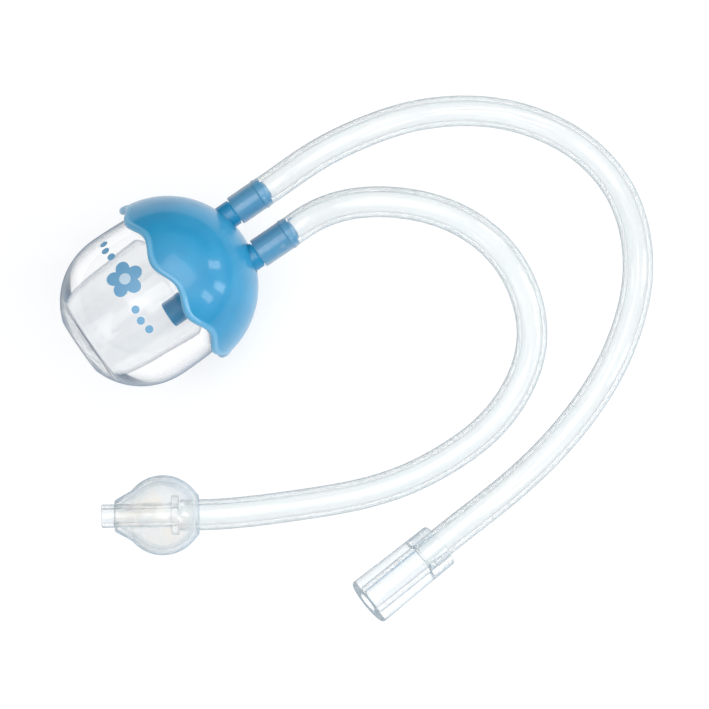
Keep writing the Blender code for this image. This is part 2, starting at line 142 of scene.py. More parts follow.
class Finish(Graph):
    # one material
    def __init__(self, name, slot):
        self.slot = slot
        self.material = bpy.data.materials.new(name)
        super().__init__(self.material)

    def place(self):
        # the point on the piece, in metres
        return self.node("ShaderNodeTexCoord", out="Object")

    def noise(self, size, detail=3.0, rough=0.5):
        # a pattern whose lumps are about this size, in metres
        return self.node("ShaderNodeTexNoise", {}, {"Vector": self.place(), "Scale": 1 / size,
                                                    "Detail": detail, "Roughness": rough}, "Fac")

    def span(self, value, fromLow, fromHigh, low=0.0, high=1.0):
        # eases a value from one range to another
        return self.node("ShaderNodeMapRange", {"clamp": True, "interpolation_type": "SMOOTHSTEP"},
                         {"Value": value, "From Min": fromLow, "From Max": fromHigh,
                          "To Min": low, "To Max": high})

    def blend(self, factor, first, second):
        # mixes two colours
        colours = [value if isinstance(value, Signal) else (*value, 1) for value in (first, second)]
        return self.node("ShaderNodeMix", {"data_type": "RGBA"}, {0: factor, 6: colours[0], 7: colours[1]}, 2)

    def rim(self, low, high):
        # rises where a surface is seen edge on; it masks the painted shade that darkens the edges of clear
        # plastic and silicone
        facing = self.node("ShaderNodeLayerWeight", {}, {"Blend": 0.5}, "Facing")
        return self.span(facing, low, high)

    def measure(self, name):
        # a value that the mesh carries at its points
        return self.node("ShaderNodeAttribute", {"attribute_name": name}, {}, "Fac")

    def bump(self, height, strength, depth):
        return self.node("ShaderNodeBump", {},
                         {"Height": height, "Strength": strength, "Distance": depth}, "Normal")

    def output(self, shader):
        self.node("ShaderNodeOutputMaterial", {}, {"Surface": shader})
        return self

    def opaque(self, values):
        return self.output(self.node("ShaderNodeBsdfPrincipled", {}, values, "BSDF"))

    def clear(self, values, shade, milk, milkColour, edge, paintedEdgeShadeColour, low=0.5):
        # bends light under a veil: a share of milk, and painted shade on the edges, a darker colour where the
        # surface is seen edge on that stands in for the dark surroundings refracted and reflected there
        body = self.node("ShaderNodeBsdfPrincipled", {}, {**values, "Transmission Weight": 1.0}, "BSDF")
        # painted shade: the veil's colour turns from the milk colour to the dark edge colour where the
        # surface is seen edge on
        rim = self.rim(low, veilSet["paintedShadeFull"])
        veil = self.node("ShaderNodeBsdfPrincipled", {},
                         {"Base Color": self.blend(rim, milkColour, paintedEdgeShadeColour),
                          "Roughness": veilSet["rough"]}, "BSDF")
        # the veil's share is the milk plus the painted edge shade, edge times the facing mask
        body = self.node("ShaderNodeMixShader", {}, {0: milk + edge * rim, 1: body, 2: veil}, "Shader")
        pane = self.node("ShaderNodeBsdfTransparent", {}, {"Color": (*shade, 1)}, "BSDF")
        for ray in ("Is Diffuse Ray", "Is Shadow Ray"):
            way = self.node("ShaderNodeLightPath", {}, {}, ray)
            body = self.node("ShaderNodeMixShader", {}, {0: way, 1: body, 2: pane}, "Shader")
        return self.output(body)


def meshFrom(name, bm):
    bmesh.ops.recalc_face_normals(bm, faces=bm.faces)
    mesh = bpy.data.meshes.new(name)
    bm.to_mesh(mesh)
    bm.free()
    return mesh


def addPiece(name, bm, finish, body, sharp=50):
    # sharp is the angle, in degrees, above which an edge isn't shaded smooth
    mesh = meshFrom(name, bm)
    mesh.materials.append(finish.material)
    mesh.shade_smooth()
    mesh.set_sharp_from_angle(angle=math.radians(sharp))
    piece = bpy.data.objects.new(name, mesh)
    bpy.context.scene.collection.objects.link(piece)
    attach(piece, body)
    return piece


def skinRings(bm, rings, looped=False):
    # joins neighbouring rings with faces; a ring of one point is a pole
    made = [[bm.verts.new(point) for point in ring] for ring in rings]
    pairs = list(zip(made, made[1:]))
    if looped:
        pairs.append((made[-1], made[0]))
    for low, high in pairs:
        count = max(len(low), len(high))
        for i in range(count):
            j = (i + 1) % count
            if len(low) == 1:
                bm.faces.new((low[0], high[j], high[i]))
            elif len(high) == 1:
                bm.faces.new((low[i], low[j], high[0]))
            else:
                bm.faces.new((low[i], low[j], high[j], high[i]))


def filleted(corners, looped=False, steps=5):
    # corners are (radius, height) or (radius, height, fillet); each fillet becomes a small arc
    points = []
    count = len(corners)
    for i, corner in enumerate(corners):
        here = Vector(corner[:2])
        isEnd = not looped and i in (0, count - 1)
        if len(corner) < 3 or isEnd:
            points.append(tuple(here))
            continue
        before = Vector(corners[i - 1][:2]) - here
        after = Vector(corners[(i + 1) % count][:2]) - here
        half = before.angle(after) / 2
        reach = min(corner[2] / math.tan(half), 0.48 * before.length, 0.48 * after.length)
        start = here + before.normalized() * reach
        end = here + after.normalized() * reach
        centre = here + (before.normalized() + after.normalized()).normalized() * (reach / math.cos(half))
        for k in range(steps + 1):
            way = (start - centre).lerp(end - centre, k / steps).normalized()
            points.append(tuple(centre + way * (start - centre).length))
    return points


def arcPoints(centre, radius, start, end, steps):
    angles = [math.radians(start + (end - start) * i / steps) for i in range(steps + 1)]
    return [(centre[0] + radius * math.cos(a), centre[1] + radius * math.sin(a)) for a in angles]


def turned(name, outline, finish, body, place, steps=128, looped=False, ridge=None):
    # spins an outline about local Z; ridge(angle, radius, height) gives a radius that varies round the axis
    rings = []
    for radius, height in outline:
        if radius < 1e-7:
            rings.append([place @ Vector((0, 0, height))])
            continue
        ring = []
        for i in range(steps):
            angle = math.tau * i / steps
            across = ridge(angle, radius, height) if ridge else radius
            ring.append(place @ Vector((across * math.cos(angle), across * math.sin(angle), height)))
        rings.append(ring)
    bm = bmesh.new()
    skinRings(bm, rings, looped)
    return addPiece(name, bm, finish, body)


# the sizes of each finish's patterns, in metres
patternSet = {"colour": 0.014, "grain": 0.00035, "wiped": 0.005, "flow": 0.009, "marks": 0.0022,
              "tint": 0.010, "haze": 0.0018}


def moulded(name, slot, deep, light, rough, lip=None, coat=0.3):
    # satin moulded plastic: slight colour drift, fine grain, uneven gloss and a paler thin edge
    finish = Finish(name, slot)
    drift = finish.span(finish.noise(patternSet["colour"], 2.0), 0.3, 0.7)
    colour = finish.blend(drift, deep, light)
    if lip:
        colour = finish.blend(finish.measure("lip") * (0.85 + 0.15 * drift), colour, lip)
    grain = finish.noise(patternSet["grain"], 4.0, 0.6)
    wiped = finish.span(finish.noise(patternSet["wiped"], 4.0, 0.65), 0.4, 0.75)
    return finish.opaque({"Base Color": colour, "Roughness": rough + 0.07 * wiped, "IOR": 1.5,
                          "Subsurface Weight": 0.1, "Subsurface Radius": (0.5, 0.8, 1.0),
                          "Subsurface Scale": 0.001, "Coat Weight": coat, "Coat Roughness": 0.09,
                          "Normal": finish.bump(grain, 0.12, 0.00004)})


def clearHard(name, slot, tint, shade, edge, paintedEdgeShadeColour, low=0.5):
    # clear moulded plastic with faint flow waves and wiped marks, and painted shade along its edges seen edge
    # on
    finish = Finish(name, slot)
    flow = finish.noise(patternSet["flow"], 2.0)
    marks = finish.span(finish.noise(patternSet["marks"], 5.0, 0.7), 0.55, 0.8)
    return finish.clear({"Base Color": (*tint, 1), "Roughness": 0.015 + 0.03 * marks, "IOR": 1.49,
                         "Normal": finish.bump(flow, 0.05, 0.00008)}, shade, 0.0, (0.9, 0.9, 0.9), edge,
                        paintedEdgeShadeColour, low)


def silicone(name, slot, cool, warm, shade, rough, milk, milkColour, edge, paintedEdgeShadeColour, low=0.4):
    # clear or milky silicone: soft gloss, faint haze and drift between a cool and a warm tint, and painted
    # shade along its edges seen edge on
    finish = Finish(name, slot)
    drift = finish.span(finish.noise(patternSet["tint"], 2.0), 0.35, 0.65)
    haze = finish.noise(patternSet["haze"], 4.0, 0.65)
    return finish.clear({"Base Color": finish.blend(drift, cool, warm), "Roughness": rough + 0.06 * haze,
                         "IOR": 1.41, "Normal": finish.bump(drift, 0.03, 0.00006)}, shade, milk, milkColour,
                        edge, paintedEdgeShadeColour, low)


domeFinish = moulded("domePlastic", "dome_plastic", (0.012, 0.275, 0.520), (0.020, 0.325, 0.585), 0.34,
                     lip=(0.13, 0.42, 0.65), coat=0.5)
lidFinish = moulded("lidPlastic", "lid_plastic", (0.006, 0.200, 0.40), (0.010, 0.225, 0.44), 0.32)
portFinish = moulded("portPlastic", "port_plastic", (0.002, 0.225, 0.44), (0.004, 0.255, 0.48), 0.32)
printFinish = moulded("printInk", "dome_plastic", (0.13, 0.34, 0.56), (0.17, 0.39, 0.61), 0.4, coat=0.0)
paleFinish = moulded("printPaleInk", "dome_plastic", (0.55, 0.72, 0.85), (0.60, 0.76, 0.88), 0.4, coat=0.0)
# each clear finish's last colour is the painted shade on its edges seen edge on; the number before it is how
# strong that shade is
jarFinish = clearHard("jarPlastic", "jar_plastic", (0.99, 0.995, 0.998), (0.99, 0.993, 0.996), 1.0,
                      (0.13, 0.22, 0.34), 0.45)
mouthpieceFinish = clearHard("mouthpiecePlastic", "mouthpiece_plastic", (0.96, 0.975, 0.98),
                             (0.97, 0.98, 0.985), 0.85, (0.24, 0.36, 0.44), 0.22)
coreFinish = clearHard("corePlastic", "core_plastic", (0.96, 0.97, 0.975), (0.96, 0.975, 0.98), 0.8,
                       (0.26, 0.38, 0.47), 0.25)
tubeFinish = silicone("tubeSilicone", "tube_silicone", (0.965, 0.978, 0.982), (0.975, 0.978, 0.970),
                      (0.975, 0.98, 0.985), 0.05, 0.09, (0.77, 0.82, 0.825), 0.68, (0.37, 0.45, 0.49), 0.25)
gasketFinish = silicone("gasketSilicone", "gasket_silicone", (0.90, 0.94, 0.96), (0.93, 0.94, 0.94),
                        (0.92, 0.94, 0.95), 0.30, 0.15, (0.84, 0.87, 0.88), 0.3, (0.60, 0.66, 0.70))
bulbFinish = silicone("bulbSilicone", "bulb_silicone", (0.93, 0.955, 0.97), (0.995, 0.95, 0.90),
                      (0.975, 0.98, 0.985), 0.10, 0.05, (0.86, 0.88, 0.88), 0.75, (0.30, 0.44, 0.55), 0.15)
print("finishes are mixed")


# the routes of the tubes' centrelines, in millimetres, from the spigots to what they plug into
mouthRoute = [
    (45.2, 6.3, 32.9), (59.3, 5.3, 32.8), (72.8, 3.4, 29.6), (85.1, 0.1, 24.0), (96.3, -4.9, 17.2),
    (105.7, -12.5, 10.8), (112.1, -22.7, 6.2), (114.0, -35.3, 4.1), (110.8, -48.2, 4.1),
    (103.8, -59.8, 4.1), (93.7, -69.6, 4.1), (82.0, -77.3, 4.1), (69.2, -82.9, 4.1),
    (55.6, -87.0, 4.6), (41.9, -89.7, 5.7), (28.1, -91.4, 6.4), (14.8, -93.05, 6.4),
]
noseRoute = [
    (44.2, -8.7, 32.8), (56.4, -15.3, 32.9), (67.0, -25.0, 30.0), (73.8, -37.2, 24.0),
    (74.6, -49.9, 16.6), (70.0, -60.5, 10.0), (60.9, -67.8, 5.8), (49.0, -72.2, 4.1),
    (36.5, -73.5, 4.1), (23.8, -72.6, 4.1), (11.2, -69.6, 4.8), (-0.9, -65.4, 6.9),
    (-12.9, -60.7, 9.2), (-24.95, -54.8, 10.3), (-31.75, -50.6, 10.3),
]
tubeSet = {"outer": 4.0 * mm, "inner": 2.75 * mm, "grip": 0.05 * mm, "stretchedWall": 1.12 * mm,
           "relax": 3.2 * mm, "lead": 3.6 * mm, "step": 0.7 * mm, "fine": 4, "sides": 72, "edge": 0.18 * mm}
portSet = {"offset": 6.5 * mm, "outer": 3.5 * mm, "bore": 1.9 * mm, "root": 2.9 * mm, "barb": 3.2 * mm,
           "barbLong": 2.6 * mm, "tip": 2.5 * mm, "flange": 4.8 * mm, "flangeLow": 36.2 * mm,
           "flangeThick": 1.2 * mm, "end": 62.8 * mm, "mouthCollar": 52.6 * mm, "noseCollar": 51.4 * mm,
           "dropEnd": 22.9 * mm, "gap": 0.3 * mm, "barbRise": 0.12}


def smoothLine(points, step):
    # evenly spaced points on a natural cubic spline through the given points
    knots = np.array(points, float)
    lengths = np.linalg.norm(np.diff(knots, axis=0), axis=1)
    at = np.concatenate([[0], np.cumsum(lengths)])
    count = len(knots)
    system = np.eye(count)
    right = np.zeros((count, 3))
    for i in range(1, count - 1):
        before, after = lengths[i - 1], lengths[i]
        system[i, i - 1:i + 2] = before, 2 * (before + after), after
        right[i] = 6 * ((knots[i + 1] - knots[i]) / after - (knots[i] - knots[i - 1]) / before)
    bend = np.linalg.solve(system, right)
    line = []
    pieces = round(at[-1] / step)
    for n in range(pieces + 1):
        s = at[-1] * n / pieces
        i = min(max(int(np.searchsorted(at, s)) - 1, 0), count - 2)
        span, a, b = lengths[i], at[i + 1] - s, s - at[i]
        curved = (bend[i] * a ** 3 + bend[i + 1] * b ** 3) / (6 * span)
        straight = (knots[i] / span - bend[i] * span / 6) * a
        straight += (knots[i + 1] / span - bend[i + 1] * span / 6) * b
        line.append(Vector(curved + straight))
    return line


def spigotRadius(height):
    # outer radius of a port's spigot: a plain root, then a barb that narrows to the tip
    s = portSet
    rise = (height - (s["end"] - s["barbLong"])) / s["barbLong"]
    if rise <= 0:
        return s["root"]
    if rise < s["barbRise"]:
        return s["root"] + (s["barb"] - s["root"]) * rise / s["barbRise"]
    return s["barb"] + (s["tip"] - s["barb"]) * (rise - s["barbRise"]) / (1 - s["barbRise"])


def tubeWall(height):
    # inner and outer radius of a tube at a height along its port: stretched over the spigot, then relaxed
    s = tubeSet
    gripped = spigotRadius(min(height, portSet["end"])) - s["grip"]
    past = min(max((height - portSet["end"]) / s["relax"] + 0.5, 0), 1)
    ease = past * past * (3 - 2 * past)
    stretched = max(s["outer"], gripped + s["stretchedWall"])
    return gripped + (s["inner"] - gripped) * ease, stretched + (s["outer"] - stretched) * ease


def makeTube(name, node, side, start, route, body):
    # hollow tube swept along its route, with its end stretched over the spigot
    across = side * portSet["offset"]
    knots = [jarFrame @ Vector((0, across, height)) for height in
             (start, portSet["end"], portSet["end"] + tubeSet["lead"])]
    knots += [Vector(point) * mm for point in route]
    line = smoothLine(knots, tubeSet["step"])
    straight = math.floor((portSet["end"] + tubeSet["lead"] - start) / tubeSet["step"])
    path = []
    for near, far in zip(line[:straight], line[1:]):
        path += [near.lerp(far, k / tubeSet["fine"]) for k in range(tubeSet["fine"])]
    path += line[straight:]
    sideWay = Vector((0, 0, 1)).cross((line[1] - line[0]).normalized()).normalized()
    outerRings, innerRings = [], []
    height = start
    for i, point in enumerate(path):
        ahead = (path[min(i + 1, len(path) - 1)] - path[max(i - 1, 0)]).normalized()
        sideWay = (sideWay - ahead * sideWay.dot(ahead)).normalized()
        upWay = ahead.cross(sideWay)
        if i:
            height += (point - path[i - 1]).length
        inner, outer = tubeWall(height)
        edge = tubeSet["edge"] if i in (0, len(path) - 1) else 0
        turns = [math.tau * k / tubeSet["sides"] for k in range(tubeSet["sides"])]
        spokes = [sideWay * math.cos(turn) + upWay * math.sin(turn) for turn in turns]
        outerRings.append([point + spoke * (outer - edge) for spoke in spokes])
        innerRings.append([point + spoke * (inner + edge) for spoke in spokes])
    bm = bmesh.new()
    skinRings(bm, outerRings + innerRings[::-1], looped=True)
    tube = addPiece(name, bm, tubeFinish, body)
    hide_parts(node, node + "_cuff")
    total = sum((b - a).length for a, b in zip(line, line[1:]))
    print(f"{name} is {total / mm:.0f} mm long")
    return tube, line


jarSet = {"baseR": 8.0 * mm, "bellyR": 20.8 * mm, "bellyAt": 18.6 * mm, "power": 2.1, "shoulderR": 20.5 * mm,
          "shoulderAt": 27.6 * mm, "shoulderRound": 3.3 * mm, "rimAt": 35.9 * mm, "floorAt": 3.9 * mm,
          "floorR": 12.5 * mm, "mouthR": 15.1 * mm, "floorRound": 1.6 * mm, "mouthAt": 34.8 * mm,
          "eggRows": 36, "crowd": 1.5, "sideRows": 10, "cavityRows": 30}
threadSet = {"pitch": 2.4 * mm, "at": 31.9 * mm, "turns": 1.25, "base": 1.1 * mm, "crest": 0.5 * mm,
             "tall": 0.8 * mm, "runOut": 0.09, "row": 0.15 * mm, "onJar": (31.1 * mm, 35.3 * mm),
             "onLid": (32.3 * mm, 36.9 * mm)}
lidSet = {"bore": 18.4 * mm, "outer": 19.4 * mm, "topR": 17.5 * mm, "skirtAt": 31.2 * mm,
          "bevelAt": 36.5 * mm, "plateAt": 37.7 * mm, "plate": 1.6 * mm}
gasketSet = {"inner": 15.2 * mm, "outer": 17.5 * mm, "low": 36.2 * mm, "high": 37.4 * mm, "round": 0.45 * mm}


def jarRadius(height):
    # outer radius of the jar below its shoulder: an egg up to the belly, nearly straight above it
    s = jarSet
    if height >= s["bellyAt"]:
        share = (height - s["bellyAt"]) / (s["shoulderAt"] - s["bellyAt"])
        return s["bellyR"] - (s["bellyR"] - s["shoulderR"]) * share ** 2
    depth = s["bellyAt"] / (1 - (s["baseR"] / s["bellyR"]) ** s["power"]) ** (1 / s["power"])
    return s["bellyR"] * (1 - ((s["bellyAt"] - height) / depth) ** s["power"]) ** (1 / s["power"])


def threadRise(angle, height, start):
    # how far the screw ridge stands out at a place on the neck
    s = threadSet
    tallest = 0.0
    for lap in range(3):
        turn = angle / math.tau + lap
        if not 0 <= turn <= s["turns"]:
            continue
        off = abs(height - start - s["pitch"] * turn)
        slope = (s["base"] / 2 - off) / (s["base"] / 2 - s["crest"] / 2)
        ends = min(turn, s["turns"] - turn) / s["runOut"]
        tallest = max(tallest, s["tall"] * min(max(slope, 0), 1) * min(ends, 1))
    return tallest


def threadRows(low, high):
    count = round((high - low) / threadSet["row"])
    return [low + (high - low) * i / count for i in range(count + 1)]


def makeJar():
    s = jarSet
    neckR = s["shoulderR"] - s["shoulderRound"]
    side = [s["bellyAt"] * (i / s["eggRows"]) ** s["crowd"] for i in range(1, s["eggRows"] + 1)]
    rise = s["shoulderAt"] - s["bellyAt"]
    side += [s["bellyAt"] + rise * i / s["sideRows"] for i in range(1, s["sideRows"] + 1)]
    outer = [(jarRadius(h), h) for h in side]
    shoulder = arcPoints((neckR, s["shoulderAt"]), s["shoulderRound"], 0, 90, 14)[1:]
    rows = threadRows(*threadSet["onJar"])
    rim = filleted([(neckR, rows[-1]), (neckR, s["rimAt"], 0.4 * mm), (s["mouthR"], s["rimAt"], 0.5 * mm),
                    (s["mouthR"], s["mouthAt"])])[1:]
    cavityLow = s["floorAt"] + s["floorRound"]
    cavity = []
    for i in range(1, s["cavityRows"]):
        share = i / s["cavityRows"]
        radius = s["mouthR"] - (s["mouthR"] - s["floorR"]) * share ** 2
        cavity.append((radius, s["mouthAt"] + (cavityLow - s["mouthAt"]) * share))
    corner = arcPoints((s["floorR"] - s["floorRound"], cavityLow), s["floorRound"], 0, -90, 10)
    base = filleted([(0, 0), (s["baseR"], 0, 1.0 * mm), outer[3]])[:-1]
    neck = [(neckR, h) for h in rows]
    outline = base + outer[3:] + shoulder + neck + rim + cavity + corner + [(0, s["floorAt"])]

    def ridge(angle, radius, height):
        onNeck = abs(radius - neckR) < 1e-9 and rows[0] <= height <= rows[-1]
        return radius + threadRise(angle, height, threadSet["at"]) if onNeck else radius

    jar = turned("jarShell", outline, jarFinish, "jar", jarFrame, 160, ridge=ridge)
    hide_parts("reservoir_jar")


def makeGasket():
    s = gasketSet
    corners = [(s["inner"], s["low"], s["round"]), (s["outer"], s["low"], s["round"]),
               (s["outer"], s["high"], s["round"]), (s["inner"], s["high"], s["round"])]
    gasket = turned("sealRing", filleted(corners, True), gasketFinish, "gasket", jarFrame, 96, looped=True)
    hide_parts("jar_gasket")


def toolShape(name, bm):
    # a shape that only cuts or joins another one
    tool = bpy.data.objects.new(name, meshFrom(name, bm))
    bpy.context.scene.collection.objects.link(tool)
    return tool


def portRods(low, high):
    # one rod for each port's hole
    rods = []
    radius = portSet["outer"] + portSet["gap"]
    for side in (1, -1):
        place = jarFrame @ Matrix.Translation((0, side * portSet["offset"], 0))
        turns = [math.tau * i / carveSet["rodSides"] for i in range(carveSet["rodSides"])]
        rings = [[place @ Vector((0, 0, low))]]
        for height in (low, high):
            ring = [Vector((radius * math.cos(turn), radius * math.sin(turn), height)) for turn in turns]
            rings.append([place @ point for point in ring])
        rings.append([place @ Vector((0, 0, high))])
        bm = bmesh.new()
        skinRings(bm, rings)
        rods.append(toolShape("rod", bm))
    return rods


carveSet = {"weld": 0.001 * mm, "sharp": 40, "rodSides": 64}


def carve(piece, tools, operation):
    # cuts tools from a piece, or joins them on, and keeps the result as its mesh
    for tool in tools:
        step = piece.modifiers.new(operation, "BOOLEAN")
        step.object = tool
        step.operation = operation
        step.solver = "EXACT"
    bpy.context.view_layer.update()
    piece.data = bpy.data.meshes.new_from_object(piece.evaluated_get(bpy.context.evaluated_depsgraph_get()))
    piece.modifiers.clear()
    bm = bmesh.new()
    bm.from_mesh(piece.data)
    bmesh.ops.remove_doubles(bm, verts=bm.verts, dist=carveSet["weld"])
    bm.to_mesh(piece.data)
    bm.free()
    piece.data.set_sharp_from_angle(angle=math.radians(carveSet["sharp"]))
    for tool in tools:
        bpy.data.objects.remove(tool, do_unlink=True)


def makeLid():
    s = lidSet
    rows = threadRows(*threadSet["onLid"])
    top = s["plateAt"] + s["plate"]
    outer = filleted([(0, top), (s["topR"], top, 0.5 * mm), (s["outer"], s["bevelAt"], 0.5 * mm),
                      (s["outer"], s["skirtAt"], 0.35 * mm), (s["bore"], s["skirtAt"], 0.35 * mm),
                      (s["bore"], rows[0])])
    inner = filleted([(s["bore"], rows[-1]), (s["bore"], s["plateAt"], 0.3 * mm), (0, s["plateAt"])])
    outline = outer + [(s["bore"], h) for h in rows[1:-1]] + inner

    def ridge(angle, radius, height):
        onBore = abs(radius - s["bore"]) < 1e-9 and rows[0] <= height <= rows[-1]
        start = threadSet["at"] + threadSet["pitch"] / 2
        return radius - threadRise(angle, height, start) if onBore else radius

    lid = turned("innerLid", outline, lidFinish, "cap", jarFrame, 144, ridge=ridge)
    carve(lid, portRods(s["plateAt"] - mm, top + mm), "DIFFERENCE")
    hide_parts("inner_lid")


domeSet = {"centreAt": 27.6 * mm, "radius": 23.4 * mm, "wall": 1.6 * mm, "skirtAt": 29.0 * mm,
           "wave": 1.15 * mm, "waves": 9, "beadHigh": 0.26 * mm, "beadWide": 1.9 * mm, "lipWide": 2.1 * mm,
           "steps": 288, "ribFrom": 5.5 * mm, "ribTo": 15.5 * mm, "ribThick": 1.2 * mm,
           "crest": 0.37, "holes": (42.7 * mm, 60.0 * mm), "rows": 60, "crowd": 1.35, "lipFade": 0.35,
           "beadFade": 0.6}


def domePoint(angle, distance, depth):
    # distance runs up the dome from its wavy edge, depth from outside (0) to inside (1)
    s = domeSet
    radius = s["radius"] - s["wall"] * depth
    edge = s["skirtAt"] + s["wave"] * math.cos(s["waves"] * angle) - s["centreAt"]
    lift = math.asin(edge / radius)
    lift += (math.pi / 2 - lift) * distance
    away = (lift - math.asin(edge / radius)) * radius
    crest = s["crest"] * s["beadWide"]
    bead = s["beadHigh"] * max(0.0, 1 - ((away - crest) / (s["beadWide"] - crest)) ** 2)
    across = radius * math.cos(lift) + bead * (1 - s["beadFade"] * depth)
    return jarFrame @ Vector((across * math.cos(angle), across * math.sin(angle),
                              s["centreAt"] + radius * math.sin(lift)))


def ribTool(sign):
    # an upright plate under the dome, sunk in the dome's wall
    s = domeSet
    low = lidSet["plateAt"] + lidSet["plate"] + portSet["gap"]
    middle = s["radius"] - s["wall"] / 2
    spans = [s["ribFrom"] + (s["ribTo"] - s["ribFrom"]) * i / 12 for i in range(13)]
    outline = [(s["ribFrom"], low)] + [(x, s["centreAt"] + math.sqrt(middle ** 2 - x ** 2)) for x in spans]
    outline.append((s["ribTo"], low))
    bm = bmesh.new()
    sides = [[bm.verts.new(jarFrame @ Vector((sign * x, y, z))) for x, z in outline]
             for y in (-s["ribThick"] / 2, s["ribThick"] / 2)]
    bm.faces.new(sides[0])
    bm.faces.new(sides[1][::-1])
    for i in range(len(outline)):
        j = (i + 1) % len(outline)
        bm.faces.new((sides[0][i], sides[0][j], sides[1][j], sides[1][i]))
    return toolShape("rib", bm)


def makeDome():
    s = domeSet
    angles = [math.tau * i / s["steps"] for i in range(s["steps"])]
    rounding = s["wall"] / (math.pi * s["radius"])
    lengths = [rounding + (1 - rounding) * (i / s["rows"]) ** s["crowd"] for i in range(s["rows"])]
    outside = [[domePoint(a, length, 0) for a in angles] for length in lengths]
    outside.append([jarFrame @ Vector((0, 0, s["centreAt"] + s["radius"]))])
    inside = [[domePoint(a, length, 1) for a in angles] for length in lengths[::2]]
    inside.append([jarFrame @ Vector((0, 0, s["centreAt"] + s["radius"] - s["wall"]))])
    edge = []
    for i in range(1, 8):
        turn = math.pi * i / 8
        edge.append([domePoint(a, rounding * (1 - math.sin(turn)), (1 - math.cos(turn)) / 2) for a in angles])
    bm = bmesh.new()
    skinRings(bm, inside[::-1] + edge[::-1] + outside)
    dome = addPiece("domeShell", bm, domeFinish, "cap", 60)
    carve(dome, [ribTool(1), ribTool(-1)], "UNION")
    carve(dome, portRods(*s["holes"]), "DIFFERENCE")
    markLip(dome)
    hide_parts("dome_cover")


def markLip(dome):
    # how near each point is to the wavy edge: 1 on the rolled lip, 0 above it
    s = domeSet
    lip = dome.data.attributes.new("lip", "FLOAT", "POINT")
    toJar = jarFrame.inverted()
    for i, vertex in enumerate(dome.data.vertices):
        x, y, z = toJar @ vertex.co
        edge = s["skirtAt"] + s["wave"] * math.cos(s["waves"] * math.atan2(y, x))
        near = min(max((edge + s["lipWide"] - z) / (s["lipFade"] * s["lipWide"]), 0), 1)
        lip.data[i].value = near * near * (3 - 2 * near)


def makePort(name, node, side, lowEnd, collarEnd):
    s = portSet
    flangeTop = s["flangeLow"] + s["flangeThick"]
    barbLow = s["end"] - s["barbLong"]
    corners = [(s["bore"], lowEnd, 0.15 * mm)]
    if lowEnd < s["flangeLow"]:
        corners += [(s["outer"], lowEnd, 0.3 * mm), (s["outer"], s["flangeLow"], 0.4 * mm)]
    corners += [(s["flange"], s["flangeLow"], 0.25 * mm), (s["flange"], flangeTop, 0.25 * mm),
                (s["outer"], flangeTop, 0.2 * mm), (s["outer"], collarEnd, 0.3 * mm),
                (s["root"], collarEnd, 0.2 * mm),
                (s["root"], barbLow, 0.2 * mm), (s["barb"], barbLow + 0.3 * mm, 0.15 * mm),
                (s["tip"], s["end"], 0.2 * mm), (s["bore"], s["end"], 0.2 * mm)]
    place = jarFrame @ Matrix.Translation((0, side * s["offset"], 0))
    port = turned(name, filleted(corners, True, 4), portFinish, "cap", place, 72, looped=True)
    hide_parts(node)


mouthpieceSet = {"long": 24.1 * mm, "tubeEndR": 6.0 * mm, "openEndR": 6.4 * mm, "bore": 2.7 * mm,
                 "socketR": 4.05 * mm, "socketDeep": 6.6 * mm, "edge": 0.5 * mm}
bulbSet = {"radius": 10.3 * mm, "wall": 1.3 * mm, "coneFrom": 8.0 * mm, "coneEnd": 12.4 * mm,
           "coneEndR": 4.0 * mm, "neckEnd": -9.3 * mm, "neckR": 5.0 * mm, "tubeR": 4.05 * mm,
           "innerFront": 6.6 * mm, "lipDeep": 2.2 * mm, "rearFrom": -8.2 * mm, "behindTube": 4.4 * mm,
           "seam": 0.06 * mm, "seamWide": 0.05, "socketTo": -8.0 * mm}
coreSet = {"outer": 3.0 * mm, "bore": 1.9 * mm, "tip": 15.8 * mm, "flangeLow": -4.1 * mm,
           "flangeHigh": -2.2 * mm, "flangeR": 5.1 * mm}


def makeMouthpiece():
    s = mouthpieceSet
    low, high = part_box("mouthpiece")
    way = Vector(joints["mouthpiece_pull"]["axis"])
    place = axisFrame((low + high) / 2 - way * s["long"] / 2, way)
    corners = [(s["socketR"], 0, 0.3 * mm), (s["tubeEndR"], 0, s["edge"]),
               (s["openEndR"], s["long"], s["edge"]), (s["bore"], s["long"], 0.35 * mm),
               (s["bore"], s["socketDeep"], 0.1 * mm),
               (s["socketR"], s["socketDeep"], 0.2 * mm)]
    piece = turned("mouthpieceBody", filleted(corners, True), mouthpieceFinish, "mouth_end", place, 96,
                   looped=True)
    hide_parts("mouthpiece")
    return piece


def bulbFrame():
    way = Vector(joints["nose_tip_pull"]["axis"])
    return axisFrame(Vector(noseRoute[-1]) * mm + way * bulbSet["behindTube"], way)


def makeBulb():
    s = bulbSet
    inner = s["radius"] - s["wall"]
    rear = math.degrees(math.asin(s["rearFrom"] / s["radius"]))
    front = math.degrees(math.asin(s["coneFrom"] / s["radius"]))
    innerRear = math.degrees(math.acos(s["tubeR"] / inner))
    innerFront = math.degrees(math.asin(s["innerFront"] / inner))
    coreR = coreSet["outer"] + 0.05 * mm
    ball = arcPoints((0, 0), s["radius"], rear, front, 40)
    outline = filleted([(s["tubeR"], s["socketTo"]), (s["tubeR"], s["neckEnd"], 0.3 * mm),
                        (s["neckR"], s["neckEnd"], 0.4 * mm), ball[1]])[1:-1]
    outline += ball[1:]
    outline += filleted([ball[-1], (s["coneEndR"], s["coneEnd"], 0.7 * mm), (coreR, s["coneEnd"], 0.25 * mm),
                         (coreR, s["coneEnd"] - s["lipDeep"])])[1:]
    outline += arcPoints((0, 0), inner, innerFront, -innerRear, 36)
    piece = turned("noseBulb", outline, bulbFinish, "nose_tip", bulbFrame(), 120, looped=True, ridge=bulbSeam)
    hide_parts("nose_bulb")
    return piece


